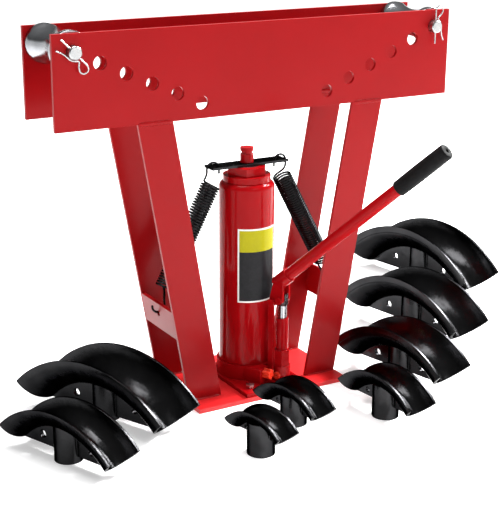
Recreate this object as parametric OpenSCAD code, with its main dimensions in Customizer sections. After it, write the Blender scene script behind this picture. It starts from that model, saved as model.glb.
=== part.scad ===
// Hydraulic pipe bender: a welded frame, a bottle jack with return springs,
// two rollers on pins and a set of eight bending dies that stand beside it.
// Millimetres. +X runs along the plates, +Y points to the rear, +Z is up.
// The origin is the middle of the base plate's underside.

/* [Frame] */
// Length of the two side plates
plate_len = 700; // [660:5:760]
// Height of the side plates
plate_h = 140; // [130:1:150]
// Thickness of the side plates
plate_t = 6; // [5:0.5:7]
// Height of the frame from the floor to the plates' top edge
frame_h = 606; // [590:1:640]
// Distance between the outer faces of the side plates
frame_w = 120; // [118:1:128]
// Diameter of the pin holes
hole_d = 21; // [20.6:0.1:23]
// Pin holes in each half of a plate
hole_count = 6; // [4:1:6]
// Step from one pin hole to the next along the plate
hole_step_x = 41.3; // [38:0.1:43]
// Drop from one pin hole to the next
hole_step_z = 18; // [14:0.5:19]
// Distance of the outermost hole from the plate's end
hole_end = 31.7; // [31:0.1:36]
// Distance of the outermost hole from the plate's top edge
hole_top = 26.6; // [25:0.1:29]
// Width of a leg, measured level
leg_w = 58; // [50:1:62]
// Thickness of a leg
leg_t = 6; // [5:0.5:8]
// Distance of a leg's top from the middle
leg_top_x = 190.6; // [180:0.2:200]
// Distance of a leg's foot from the middle
leg_foot_x = 109.8; // [106:0.2:114]
// Length of the base plate
base_len = 280; // [276:1:320]
// Depth of the base plate
base_depth = 194; // [192:1:220]
// Thickness of the base plate
base_t = 7; // [6:0.5:9]
// Height of a cross bar
bar_h = 48; // [44:1:54]
// Thickness of a cross bar
bar_t = 6; // [5:0.5:7]
// Height of a cross bar's lower edge above the floor
bar_low = 115; // [108:1:122]

/* [Rollers and clips] */
// Diameter of a roller's rims
roller_d = 60; // [56:0.5:61]
// Diameter of a roller's waist
roller_waist_d = 44; // [40:0.5:48]
// Width of the straight rim at each end of a roller
roller_rim = 10; // [6:0.5:14]
// Room between a roller and each plate
roller_room = 2; // [1:0.25:3]
// Diameter of the roller pins
pin_d = 20; // [19:0.1:20.4]
// Length of pin that stands out of the front plate
pin_out = 12; // [11:0.5:16]
// Diameter of a pin's head
pin_head_d = 30; // [26:0.5:34]
// Thickness of a pin's head
pin_head_t = 8; // [5:0.5:12]
// Chamfer on a pin's front end
pin_chamfer = 1.5; // [0.5:0.25:2.5]
// Distance of a clip from the front plate
clip_off = 6; // [5:0.5:7]
// Wire of the clips
clip_wire = 2.4; // [2:0.1:2.8]
// Radius of a clip's loop
clip_loop_r = 7; // [6:0.25:8]
// Distance of a clip's loop from the pin's middle
clip_loop_at = 26; // [24:0.5:30]
// Reach of a clip's two tips past the pin's middle
clip_tip = 28; // [22:0.5:32]
// Direction of the left clip's loop, from level
clip_turn_left = -45; // [-60:1:-30]
// Direction of the right clip's loop, from level
clip_turn_right = 90; // [75:1:105]

/* [Jack] */
// Reach of the jack's foot to the left
foot_left = 51; // [50:1:58]
// Reach of the jack's foot to the right
foot_right = 62; // [60:1:70]
// Reach of the jack's foot to the front
foot_front = 94; // [92:1:96]
// Reach of the jack's foot to the rear
foot_rear = 52; // [51:1:60]
// Thickness of the jack's foot
foot_t = 7; // [6:0.5:9]
// Diameter of the collar under the reservoir
collar_d = 99; // [96:0.5:101]
// Height of the collar above the foot
collar_h = 25; // [24:0.5:30]
// Outer diameter of the reservoir
tank_d = 91; // [89:0.5:92]
// Wall of the reservoir
tank_wall = 4; // [3:0.25:5]
// Height of the reservoir from the collar to its top
tank_h = 306; // [300:1:320]
// Rounding of the reservoir's shoulder
tank_round = 10; // [6:0.5:11]
// Diameter of the tank nut's rim
tank_nut_d = 78; // [74:0.5:82]
// Height of the tank nut's rim
tank_nut_h = 10; // [8:0.5:14]
// Width of the gland nut across its flats
gland_flats = 60; // [56:0.5:66]
// Height of the gland nut's hexagon
gland_h = 14; // [10:0.5:18]
// Diameter of the ram
ram_d = 40; // [36:0.5:42]
// Outer diameter of the inner cylinder
inner_d = 58; // [56:0.5:60]
// Bore of the inner cylinder
inner_bore = 48; // [46:0.5:49]
// Thickness of the piston head
piston_h = 26; // [22:1:34]
// Diameter of the ram's nose
nose_d = 22; // [20:0.5:22.2]
// Length of the ram's nose
nose_len = 25; // [24:0.5:30]
// Depth of the groove round the nose
nose_groove = 2; // [1:0.25:3]
// Width of the groove round the nose
nose_groove_w = 5; // [3:0.5:6]
// Length of nose above its groove
nose_tip = 6; // [4:0.5:8]
// Diameter of the screws that hold the foot
screw_d = 8; // [6:0.5:9]

/* [Pump and handle] */
// Direction of the pump from the ram, turned from +X
pump_turn = -62; // [-64:1:-58]
// Distance of the pump from the ram
pump_r = 70.5; // [70:0.25:72]
// Outer diameter of the pump's barrel
barrel_d = 20; // [19:0.5:22]
// Top of the pump's barrel above the floor
barrel_top = 121; // [114:1:124]
// Height of the hexagon at the barrel's foot
barrel_hex_h = 27; // [18:1:32]
// Width of the barrel's hexagon across its flats
barrel_flats = 24; // [23:0.5:24.5]
// Diameter of the pump's piston
plunger_d = 14; // [12.5:0.5:14]
// Height of the piston pin above the floor at rest
plunger_pin_z = 154; // [152:1:160]
// Distance between the piston pin and the fulcrum pin
lever_arm = 13; // [12.5:0.25:14]
// Angle of the line between those pins at rest
lever_rest = 20; // [18:0.5:22]
// Diameter of the piston pin
piston_pin_d = 6; // [5:0.5:7]
// Diameter of the fulcrum pin
fulcrum_d = 6.5; // [5.5:0.5:7]
// Diameter of the pin at the links' feet
link_pin_d = 6; // [5:0.5:7]
// Thickness of a lever ear
ear_t = 4.8; // [4:0.2:5]
// Thickness of a link
link_t = 4; // [3:0.25:5]
// Width of a link
link_w = 10; // [9:0.5:11]
// Height of the handle's line above the piston pin
socket_rise = 32; // [31:0.5:36]
// Outer diameter of the handle socket
socket_d = 25; // [24:0.5:27]
// Depth of the handle socket
socket_len = 18; // [16:1:24]
// Slope of the handle at rest
handle_slope = 42; // [39:0.5:43]
// Diameter of the handle bar
handle_d = 20; // [18:0.5:21]
// Wall of the handle bar
handle_wall = 2.5; // [2:0.25:4]
// Length of the handle bar
handle_len = 368; // [340:1:420]
// Diameter of the grip
grip_d = 26; // [24:0.5:30]
// Length of the grip
grip_len = 102; // [80:1:130]
// Thickness of the grip's closed end
grip_end = 4; // [3:0.5:6]
// Diameter of the small hole in the grip's end
grip_hole_d = 6; // [3:0.5:8]
// Diameter of the release valve's head
valve_d = 18; // [15:0.5:19]
// Length of the release valve's head
valve_len = 13; // [10:0.5:16]
// Diameter of the overload plug
plug_d = 12; // [10:0.5:13]

/* [Springs] */
// Wire of the springs
spring_wire = 3.6; // [3:0.1:3.8]
// Outer diameter of the springs
spring_d = 32; // [30:0.5:33]
// Gap between neighbouring curls
spring_gap = 0.85; // [0.7:0.05:1.2]
// Length of the spring plate
spring_plate_len = 140; // [134:1:142]
// Depth of the spring plate
spring_plate_w = 30; // [26:1:36]
// Thickness of the spring plate
spring_plate_t = 4; // [3:0.25:5]
// Distance of a hook hole from the spring plate's middle
hook_hole_x = 50; // [49:0.5:52]
// Diameter of the hook holes
hook_hole_d = 9; // [8:0.25:10]
// Distance of a cross bar's hook hole from the bar's top edge
hook_hole_drop = 19; // [18:0.5:20]
// Radius of the springs' hooks
hook_r = 11; // [11:0.25:12]
// Distance of a spring's upper curl out from its hook hole
coil_out = 16; // [15:0.5:19]
// Distance of a spring's upper curl below the spring plate
coil_drop = 26; // [24:0.5:30]
// Distance of a spring's lower curl in from its hook hole
coil_in = 9; // [7:0.5:11]
// Height of a spring's lower curl above its hook hole
coil_rise = 42; // [40:0.5:46]

/* [Dies] */
// Outer diameters of the pipes, from the smallest die to the largest
pipe_d = [21.3, 26.9, 33.7, 42.4, 48.3, 60.3, 73, 88.9]; // [18:0.1:90]
// Radius of each die's rim
rim_r = [79, 95, 114, 155, 160, 196, 204, 232]; // [70:1:260]
// Half of each die's width
die_half_w = [22, 25, 29, 33, 41, 46, 49, 52]; // [18:0.5:53]
// Height of each die's rim at its top
die_top = [68, 68, 77, 82, 98, 115, 104, 118]; // [60:1:130]
// Place of each die along the plates
die_x = [-124, -26, 115, -380, 224, 374, -271, 583]; // [-420:1:620]
// Place of each die from front to rear
die_y = [-261, -195, -243, -141, -135, 31, -32, 283]; // [-300:1:320]
// Turn of each die from the plates
die_turn = [-76, -79, -83, -68, -77.5, -80, -65, -80.5]; // [-90:0.5:0]
// Half of the arc that a die bends
die_half_arc = 46.5; // [43:0.5:48]
// Thickness of a die's lips
lip_t = 4; // [3:0.25:5]
// Thickness of a die's web
web_t = 7; // [6:0.5:10]
// Diameter of a die's boss
boss_d = 43; // [38:0.5:44]
// Depth of a die's socket
die_socket = 27; // [26:0.5:30]
// Diameter of the holes in a die's web
web_hole_d = 13; // [8:0.5:14]

/* [Clearances] */
// Room round a turning or sliding shaft, on each side
running = 0.05; // [0.02:0.01:0.1]
// Room beside moving flat faces
side_room = 0.5; // [0.3:0.05:0.6]
// Room round the nose in a die's socket, on each side
socket_room = 0.3; // [0.2:0.05:0.5]
// Room round a pipe in a die's groove, on each side
pipe_room = 0.4; // [0.2:0.05:0.8]
// Room between a spring's hook and the edge that it pulls on
hook_room = 0.3; // [0.25:0.05:0.4]

/* [Hidden] */
$fn = 96;

// Colours
red = "firebrick";
black = "#1c1c1e";
steel = "silver";
rubber = "#2a2a2c";

// Extra length of a cut past the face that it opens
past = 1;

// Frame
inner_w = frame_w - 2 * plate_t;
leg_top_z = frame_h - plate_h;
pin_x = plate_len / 2 - hole_end;
pin_z = frame_h - hole_top;
leg_lean = atan((leg_top_x - leg_foot_x) / (leg_top_z - base_t));
bar_up = [sin(leg_lean), 0, cos(leg_lean)];
bar_out = [cos(leg_lean), 0, -sin(leg_lean)];
function leg_mid(z) = leg_foot_x + (leg_top_x - leg_foot_x) * (z - base_t) / (leg_top_z - base_t);
// Lower edge of the right cross bar, at the middle of its thickness
bar_foot = [leg_mid(bar_low) + leg_w / 2 - bar_t / 2 / cos(leg_lean), 0, bar_low];
bar_hook = bar_foot + (bar_h - hook_hole_drop) * bar_up;

// Rollers and clips
roller_len = inner_w - 2 * roller_room;
roller_hollow = (roller_d - roller_waist_d) / 2;
roller_span = roller_len / 2 - roller_rim;
roller_arc_r = (roller_span * roller_span + roller_hollow * roller_hollow) / (2 * roller_hollow);
clip_hug_r = pin_d / 2 + clip_wire / 2 + side_room;
clip_hug_from = 45;
clip_hug_to = 90;
clip_loop_to = 120;
clip_tip_in = 5;
clip_flare = 5;
clip_tip_turn = 158;
clip_steps = 16;
clip_sides = 12;

// Jack
foot_z = base_t + foot_t;
collar_z = foot_z + collar_h;
spigot_h = 6;
pocket_deep = 9;
tank_bore = tank_d / 2 - tank_wall;
tank_z = collar_z + tank_h;
tank_mouth = 34;
crown_t = 12;
neck_deep = 15;
inner_drop = 8;
inner_top = tank_z - inner_drop;
nut_z = tank_z + tank_nut_h;
gland_neck_r = 26;
gland_z = nut_z + gland_h;
ram_out = 1;
ram_top = gland_z + ram_out;
ram_sink = 3;
ram_low = collar_z - ram_sink;
piston_z = ram_low + piston_h;
rod_tail_r = 14;
seal_t = 2.05;
seal_h = 2.5;
seal_room = 0.1;
piston_seal_h = 6;
piston_seal_deep = 4;
wiper_h = 4;
wiper_t = 4;
wiper_drop = 6;
wiper_z = gland_z - wiper_drop;
nose_z = ram_top + spring_plate_t;
stud_r = 8;
stud_deep = 25;
plug_hole_r = 4;
plug_cap_r = 7;
filler_drop = 45;
filler_z = tank_z - filler_drop;
screw_places = [[-33, -72], [-42, 43], [48, 40]];
screw_head_h = 6;
screw_flats = 13;

// Pump and handle, in a frame whose +X points from the ram to the pump
block_z = collar_z;
block_w = 25;
block_from = 30;
pump_boss_r = 14;
spigot_r = 9;
spigot_deep = 10;
bore_deep = 6;
bore_floor = block_z - bore_deep;
fulcrum = [pump_r - lever_arm * cos(lever_rest), plunger_pin_z - lever_arm * sin(lever_rest)];
tongue_w = 12;
tongue_len = 14;
tongue_up = 8;
tongue_down = 11;
plunger_rise = 16;
plunger_low = block_z + plunger_rise;
tongue_room = 1.5;
ear_gap = tongue_w + 2 * tongue_room;
ear_out = ear_gap / 2 + ear_t;
ear_r = 7;
link_in = ear_out + side_room;
link_out = link_in + link_t;
link_pin_drop = 9;
link_pin_z = block_z - link_pin_drop;
pin_cap_t = 2.5;
ring_t = 1.5;
ring_wide = 2.5;
ring_room = 0.02;
pin_tail = 1;
grip_in = 1;
grip_line = [pump_r - grip_in, plunger_pin_z + socket_rise];
socket_back = 12;
valve_y = -32;
valve_rise = 17;
valve_z = foot_z + valve_rise;
valve_face = 56;
valve_stem_r = 4;
valve_stem_len = 22;
valve_lobes = 6;
valve_lobe_r = 2.4;
valve_block_w = 24;
ball_r = 3.5;
ball_room = 0.2;
plug_out = 4;
plug_deep = 6;
plug_stem_r = 4;
plug_rise = 10;
plug_z = foot_z + plug_rise;
plug_eye_r = 2;

// Springs
coil_r = (spring_d - spring_wire) / 2;
coil_from = [hook_hole_x + coil_out, 0, ram_top - coil_drop];
coil_to = [bar_hook[0] - coil_in, 0, bar_hook[2] + coil_rise];
coil_len = norm(coil_to - coil_from);
coil_turns = floor(coil_len / (spring_wire + spring_gap));
coil_line = (coil_to - coil_from) / coil_len;
coil_side = [-coil_line[2], 0, coil_line[0]];
rings_per_turn = 8;
wire_sides = 6;
hook_steps = 12;
blend_steps = 6;
blend_pull = 12;
hook_tip = 10;
hook_foot_end = 380;
// A hook pulls on the outer edge of its hole in the plate, and on the upper edge of its hole in the bar
hook_slack = (hook_hole_d - spring_wire) / 2 - hook_room;
hook_drop = 5;
leg_drop = 3;
top_bend = hook_r - sqrt(hook_r * hook_r - hook_drop * hook_drop);
hook_x = hook_hole_x + hook_slack - top_bend;
bend_rise = hook_r - sqrt(hook_r * hook_r - bar_t * bar_t / 4);
top_hook = [hook_x + hook_r, 0, nose_z - hook_drop];
top_leg = top_hook + [hook_r, 0, -leg_drop];
low_hook = bar_hook + (hook_slack - bend_rise + hook_r) * bar_up;
low_leg = low_hook - hook_r * bar_out;

function unit(v) = v / norm(v);
function bezier(a, b, c, d, t) =
    pow(1 - t, 3) * a + 3 * t * pow(1 - t, 2) * b + 3 * t * t * (1 - t) * c + pow(t, 3) * d;
function blend(a, a_dir, d, d_dir) =
    [for (i = [1 : blend_steps - 1])
        bezier(a, a + blend_pull * a_dir, d - blend_pull * d_dir, d, i / blend_steps)];
function coil_point(k) =
    let (turn = 90 + 360 * k / rings_per_turn)
    coil_from + coil_line * coil_len * k / (rings_per_turn * coil_turns)
        + coil_r * (cos(turn) * coil_side + sin(turn) * [0, 1, 0]);

// Middle line of the right spring, from the tip of its upper hook to the tip of its lower hook
coil_count = rings_per_turn * coil_turns;
spring_line = concat(
    [[hook_x, 0, ram_top - hook_tip], [hook_x, 0, ram_top - hook_tip + spring_wire]],
    [for (i = [hook_steps : -1 : 0])
        let (a = 180 * i / hook_steps) top_hook + hook_r * [cos(a), 0, sin(a)]],
    [top_leg],
    blend(top_leg, [0, 0, -1], coil_point(0), -coil_side),
    [for (k = [0 : coil_count]) coil_point(k)],
    blend(coil_point(coil_count), -coil_side, low_leg, -bar_up),
    [for (i = [0 : hook_steps])
        let (a = 180 + (hook_foot_end - 180) * i / hook_steps)
        low_hook + hook_r * (cos(a) * bar_out + sin(a) * bar_up)],
    [low_hook + hook_r * (cos(hook_foot_end) * bar_out + sin(hook_foot_end) * bar_up)
        + spring_wire * (cos(hook_foot_end) * bar_up - sin(hook_foot_end) * bar_out)]
);
// Points of the middle line closer than this along the wire aren't compared
near_rings = 6;
spring_self_gap = min([for (i = [0 : len(spring_line) - 1]) for (j = [i + near_rings : len(spring_line) - 1])
    norm(spring_line[i] - spring_line[j])]) - spring_wire;
echo(spring_curls = 2 * coil_turns, spring_self_gap = spring_self_gap);

// Dies
// Extra arc of a groove past a die's ends
arc_past = 2;
// Part of a die's half width by which its boss sinks into the belly
boss_sink = 0.25;
// Half of the arc of a groove's floor that has the pipe's own radius
floor_arc = 30;
// Place of the web's holes between the boss and the die's end, and between the web's foot and its roof
web_hole_out = 0.42;
web_hole_up = 0.56;
function die_groove(i) = pipe_d[i] / 2 + pipe_room;
function die_flare(i) = die_half_w[i] - lip_t - die_groove(i);
function die_heart(i) = die_top[i] - rim_r[i];
function die_belly(i) = rim_r[i] - die_half_w[i];
function die_end_z(i) = die_heart(i) + die_belly(i) * cos(die_half_arc);
function die_end_x(i) = die_belly(i) * sin(die_half_arc);

// Middle line of a clip's wire in its own plane: straight prong, loop, hug round the pin and flared tip
function clip_arc(middle, r, from, to) =
    [for (i = [0 : clip_steps]) let (a = from + (to - from) * i / clip_steps) middle + r * [cos(a), sin(a)]];
function arc_way(a) = [-sin(a), cos(a)];
clip_loop = clip_arc([clip_loop_at, clip_loop_r], clip_loop_r, -90, clip_loop_to);
clip_hug = clip_arc([0, 0], clip_hug_r, clip_hug_from, clip_hug_to);
clip_end = [clip_tip_in - clip_tip, clip_hug_r + clip_flare];
clip_path = concat(
    [[-clip_tip, 0]],
    clip_loop,
    blend(clip_loop[clip_steps], arc_way(clip_loop_to), clip_hug[0], arc_way(clip_hug_from)),
    clip_hug,
    blend(clip_hug[clip_steps], arc_way(clip_hug_to), clip_end, [cos(clip_tip_turn), sin(clip_tip_turn)]),
    [clip_end]
);

// Tube of round wire along a line of points, as one closed skin
module wire_tube(line, r, wire_sides) {
    last = len(line) - 1;
    along = [for (i = [0 : last]) unit(line[min(i + 1, last)] - line[max(i - 1, 0)])];
    side = [for (i = 0, b = [0, 1, 0]; i <= last;
        i = i + 1, b = unit(b - (b * along[min(i, last)]) * along[min(i, last)])) b];
    skin = [for (i = [0 : last]) for (s = [0 : wire_sides - 1])
        let (a = 360 * s / wire_sides)
        line[i] + r * (cos(a) * side[i] + sin(a) * cross(along[i], side[i]))];
    walls = [for (i = [0 : last - 1]) for (s = [0 : wire_sides - 1])
        let (n = (s + 1) % wire_sides, a = i * wire_sides, b = a + wire_sides)
        for (f = [[a + s, b + s, b + n], [a + s, b + n, a + n]]) f];
    caps = [for (s = [1 : wire_sides - 2])
        for (f = [[0, s, s + 1], [last * wire_sides, last * wire_sides + s + 1, last * wire_sides + s]]) f];
    polyhedron(skin, concat(walls, caps));
}

// Frame pieces
module side_plate(y) {
    color(red) difference() {
        translate([-plate_len / 2, y, leg_top_z]) cube([plate_len, plate_t, plate_h]);
        for (side = [-1, 1]) for (i = [0 : hole_count - 1])
            translate([side * (pin_x - i * hole_step_x), y - past, pin_z - i * hole_step_z])
                rotate([-90, 0, 0]) cylinder(d = hole_d, h = plate_t + 2 * past);
    }
}

module leg(side, y) {
    color(red) translate([0, y + leg_t, 0]) rotate([90, 0, 0]) linear_extrude(leg_t)
        polygon([
            [side * (leg_foot_x - leg_w / 2), base_t],
            [side * (leg_foot_x + leg_w / 2), base_t],
            [side * (leg_top_x + leg_w / 2), leg_top_z],
            [side * (leg_top_x - leg_w / 2), leg_top_z]
        ]);
}

module base_plate() {
    color(red) difference() {
        translate([-base_len / 2, -base_depth / 2, 0]) cube([base_len, base_depth, base_t]);
        for (p = screw_places)
            translate([p[0], p[1], past]) cylinder(d = screw_d + 2 * running, h = base_t);
    }
}

module cross_bar(side) {
    bar_w = frame_w - 2 * leg_t;
    color(red) mirror([side < 0 ? 1 : 0, 0, 0]) translate(bar_foot) rotate([0, leg_lean, 0]) difference() {
        translate([-bar_t / 2, -bar_w / 2, 0]) cube([bar_t, bar_w, bar_h]);
        translate([-bar_t / 2 - past, 0, bar_h - hook_hole_drop])
            rotate([0, 90, 0]) cylinder(d = hook_hole_d, h = bar_t + 2 * past);
    }
}

// Rollers, pins and clips
module roller(side) {
    color(steel) translate([side * pin_x, 0, pin_z]) rotate([90, 0, 0]) rotate_extrude() difference() {
        translate([pin_d / 2 + running, -roller_len / 2])
            square([(roller_d - pin_d) / 2 - running, roller_len]);
        translate([roller_waist_d / 2 + roller_arc_r, 0]) circle(r = roller_arc_r, $fn = 360);
    }
}

module roller_pin(side, turn) {
    front = frame_w / 2 + pin_out;
    color(steel) translate([side * pin_x, 0, pin_z]) difference() {
        union() {
            translate([0, frame_w / 2, 0]) rotate([90, 0, 0])
                cylinder(d = pin_d, h = frame_w / 2 + front - pin_chamfer);
            translate([0, -front + pin_chamfer, 0]) rotate([90, 0, 0])
                cylinder(d1 = pin_d, d2 = pin_d - 2 * pin_chamfer, h = pin_chamfer);
            translate([0, frame_w / 2 + pin_head_t, 0]) rotate([90, 0, 0])
                cylinder(d = pin_head_d, h = pin_head_t);
        }
        translate([0, -frame_w / 2 - clip_off, 0]) rotate([0, 90 - turn, 0])
            cylinder(d = clip_wire + side_room, h = 2 * pin_d, center = true);
    }
}

// The loop and the hugging prong lie below the straight prong
module clip(side, turn) {
    color(steel) translate([side * pin_x, -frame_w / 2 - clip_off, pin_z]) rotate([0, -turn, 0])
        wire_tube([for (p = clip_path) [p[0], 0, -p[1]]], clip_wire / 2, clip_sides);
}

// Places things in the pump's own frame
module at_pump() {
    rotate([0, 0, pump_turn]) children();
}

// A round bar across the pump's frame, from y = low to y = high
module cross_pin(x, z, d, low, high) {
    translate([x, high, z]) rotate([90, 0, 0]) cylinder(d = d, h = high - low);
}

// Jack pieces
module jack_base() {
    color(red) difference() {
        union() {
            translate([-foot_left, -foot_front, base_t])
                cube([foot_left + foot_right, foot_front + foot_rear, foot_t]);
            translate([0, 0, foot_z]) cylinder(d = collar_d, h = collar_h);
            translate([0, 0, collar_z]) cylinder(r = tank_bore - running, h = spigot_h);
            at_pump() {
                translate([block_from, -block_w / 2, foot_z])
                    cube([pump_r - block_from, block_w, block_z - foot_z]);
                translate([pump_r, 0, foot_z]) cylinder(r = pump_boss_r, h = block_z - foot_z);
                translate([block_from / 2, valve_y - valve_block_w / 2, foot_z])
                    cube([valve_face - block_from / 2, valve_block_w, collar_h]);
            }
        }
        translate([0, 0, collar_z - pocket_deep])
            cylinder(d = inner_d + 2 * running, h = pocket_deep + spigot_h + past);
        translate([0, 0, collar_z + (spigot_h - seal_h) / 2 - seal_room]) difference() {
            cylinder(r = tank_bore + past, h = seal_h + 2 * seal_room);
            cylinder(r = tank_bore - seal_t, h = seal_h + 2 * seal_room);
        }
        for (p = screw_places)
            translate([p[0], p[1], 0]) cylinder(d = screw_d + 2 * side_room, h = foot_z + past);
        at_pump() {
            translate([pump_r, 0, block_z - spigot_deep])
                cylinder(r = spigot_r + running, h = spigot_deep + past);
            translate([pump_r, 0, block_z - spigot_deep - 2 * ball_r - 2 * ball_room])
                cylinder(r = ball_r + ball_room, h = spigot_deep);
            cross_pin(fulcrum[0], link_pin_z, link_pin_d + 2 * running, -block_w, block_w);
            translate([valve_face - valve_stem_len - 2 * ball_r - 2 * ball_room, valve_y, valve_z])
                rotate([0, 90, 0]) cylinder(r = valve_stem_r + running, h = 2 * valve_stem_len);
            translate([pump_r, -pump_boss_r + plug_deep, plug_z])
                rotate([90, 0, 0]) cylinder(r = plug_stem_r + running, h = 2 * plug_deep);
        }
    }
}

module jack_screws() {
    color("dimgray") for (p = screw_places) translate([p[0], p[1], 0]) {
        translate([0, 0, past]) cylinder(d = screw_d, h = foot_z - past);
        translate([0, 0, foot_z]) cylinder(d = screw_flats / cos(30), h = screw_head_h, $fn = 6);
    }
}

module reservoir_tube() {
    color(red) difference() {
        translate([0, 0, collar_z]) rotate_extrude() difference() {
            union() {
                square([tank_d / 2, tank_h - tank_round]);
                square([tank_d / 2 - tank_round, tank_h]);
                translate([tank_d / 2 - tank_round, tank_h - tank_round]) circle(r = tank_round);
            }
            translate([0, -past]) square([tank_bore, tank_h - crown_t + past]);
            square([tank_mouth, tank_h + past]);
        }
        translate([0, 0, filler_z]) rotate([-90, 0, 0]) cylinder(r = plug_hole_r, h = tank_d);
    }
}

module seal_ring(z, r_out, t, h) {
    translate([0, 0, z]) rotate_extrude() translate([r_out - t, 0]) square([t, h]);
}

module reservoir_seals() {
    color(rubber) {
        seal_ring(collar_z + (spigot_h - seal_h) / 2, tank_bore - running / 2, seal_t - running, seal_h);
        seal_ring(tank_z - crown_t / 2, tank_mouth - running / 2, seal_t - running, seal_h);
    }
}

module tank_nut() {
    color(red) rotate_extrude() difference() {
        union() {
            translate([0, tank_z]) square([tank_nut_d / 2, tank_nut_h]);
            translate([0, tank_z - neck_deep]) square([tank_mouth - running, neck_deep]);
        }
        translate([0, tank_z - neck_deep - past])
            square([gland_neck_r + running, neck_deep + tank_nut_h + 2 * past]);
        translate([0, tank_z - neck_deep - past])
            square([inner_d / 2 + running, inner_top - tank_z + neck_deep + past]);
        translate([tank_mouth - seal_t, tank_z - crown_t / 2 - seal_room])
            square([seal_t + past, seal_h + 2 * seal_room]);
    }
}

module gland_nut() {
    color(red) difference() {
        union() {
            translate([0, 0, nut_z]) cylinder(d = gland_flats / cos(30), h = gland_h, $fn = 6);
            translate([0, 0, inner_top]) cylinder(r = gland_neck_r, h = nut_z - inner_top);
        }
        translate([0, 0, inner_top - past])
            cylinder(r = ram_d / 2 + running, h = gland_z - inner_top + 2 * past);
        translate([0, 0, wiper_z]) cylinder(r = ram_d / 2 + wiper_t, h = wiper_h);
    }
}

module ram_wiper() {
    color(rubber) seal_ring(wiper_z, ram_d / 2 + wiper_t, wiper_t - running, wiper_h);
}

module inner_cylinder() {
    color(steel) translate([0, 0, collar_z - pocket_deep]) rotate_extrude()
        translate([inner_bore / 2, 0])
            square([(inner_d - inner_bore) / 2, inner_top - collar_z + pocket_deep]);
}

module filler_plug() {
    color(rubber) translate([0, 0, filler_z]) rotate([-90, 0, 0]) {
        translate([0, 0, tank_d / 2 - tank_wall - past])
            cylinder(r = plug_hole_r - running, h = tank_wall + past);
        translate([0, 0, tank_d / 2]) cylinder(r = plug_cap_r, h = tank_wall);
    }
}

// Pieces that rise with the ram
module ram() {
    color(steel) difference() {
        union() {
            translate([0, 0, piston_z]) cylinder(d = ram_d, h = ram_top - piston_z);
            translate([0, 0, ram_low]) cylinder(r = rod_tail_r, h = piston_h);
        }
        translate([0, 0, ram_top - stud_deep]) cylinder(r = stud_r + running, h = stud_deep + past);
    }
}

module piston_head() {
    color("dimgray") translate([0, 0, ram_low]) rotate_extrude() difference() {
        translate([rod_tail_r + running, 0]) square([inner_bore / 2 - rod_tail_r - 2 * running, piston_h]);
        translate([inner_bore / 2 - piston_seal_deep, (piston_h - piston_seal_h) / 2])
            square([piston_seal_deep + past, piston_seal_h]);
    }
}

module piston_seal() {
    color(rubber) seal_ring(ram_low + (piston_h - piston_seal_h) / 2, inner_bore / 2 - running,
        piston_seal_deep - running, piston_seal_h);
}

module ram_nose() {
    color(red) translate([0, 0, nose_z]) {
        difference() {
            cylinder(d = nose_d, h = nose_len);
            translate([0, 0, nose_len - nose_tip - nose_groove_w]) difference() {
                cylinder(d = nose_d + 2 * past, h = nose_groove_w);
                cylinder(d = nose_d - 2 * nose_groove, h = nose_groove_w);
            }
        }
        translate([0, 0, past - stud_deep]) cylinder(r = stud_r, h = stud_deep - past);
    }
}

module spring_plate() {
    color(black) translate([0, 0, ram_top]) difference() {
        translate([-spring_plate_len / 2, -spring_plate_w / 2, 0])
            cube([spring_plate_len, spring_plate_w, spring_plate_t]);
        translate([0, 0, -past]) cylinder(r = stud_r + running, h = spring_plate_t + 2 * past);
        for (side = [-1, 1]) translate([side * hook_hole_x, 0, -past])
            cylinder(d = hook_hole_d, h = spring_plate_t + 2 * past);
    }
}

module spring(side) {
    color(black) mirror([side < 0 ? 1 : 0, 0, 0]) wire_tube(spring_line, spring_wire / 2, wire_sides);
}

// Pump pieces
module pump_cylinder() {
    color(red) at_pump() translate([pump_r, 0, 0]) difference() {
        union() {
            translate([0, 0, block_z - spigot_deep]) cylinder(r = spigot_r, h = spigot_deep);
            translate([0, 0, block_z]) cylinder(d = barrel_flats / cos(30), h = barrel_hex_h, $fn = 6);
            translate([0, 0, block_z]) cylinder(d = barrel_d, h = barrel_top - block_z);
        }
        translate([0, 0, bore_floor])
            cylinder(d = plunger_d + 2 * running, h = barrel_top - bore_floor + past);
        translate([0, 0, barrel_top - 2 * seal_h]) cylinder(r = plunger_d / 2 + seal_t, h = seal_h);
    }
}

module pump_seal() {
    color(rubber) at_pump() translate([pump_r, 0, 0])
        seal_ring(barrel_top - 2 * seal_h, plunger_d / 2 + seal_t, seal_t - running, seal_h);
}

module pump_piston() {
    color(steel) at_pump() translate([pump_r, 0, 0]) difference() {
        union() {
            translate([0, 0, plunger_low])
                cylinder(d = plunger_d, h = plunger_pin_z - tongue_down - plunger_low);
            translate([-tongue_len / 2, -tongue_w / 2, plunger_pin_z - tongue_down])
                cube([tongue_len, tongue_w, tongue_down + tongue_up]);
        }
        cross_pin(0, plunger_pin_z, piston_pin_d + 2 * running, -tongue_w, tongue_w);
    }
}

module piston_pin() {
    low = -ear_out - side_room;
    color(steel) at_pump() {
        cross_pin(pump_r, plunger_pin_z, piston_pin_d, low, ear_out + side_room + ring_t + pin_tail);
        cross_pin(pump_r, plunger_pin_z, piston_pin_d + 2 * ring_wide, low - pin_cap_t, low);
    }
}

// A retaining ring on a cross pin, with its inner face at y
module pin_ring(x, z, d, y) {
    difference() {
        cross_pin(x, z, d + 2 * ring_wide, y, y + ring_t);
        cross_pin(x, z, d + 2 * ring_room, y - past, y + ring_t + past);
    }
}

module piston_pin_ring() {
    color(steel) at_pump() pin_ring(pump_r, plunger_pin_z, piston_pin_d, ear_out + side_room);
}

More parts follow.
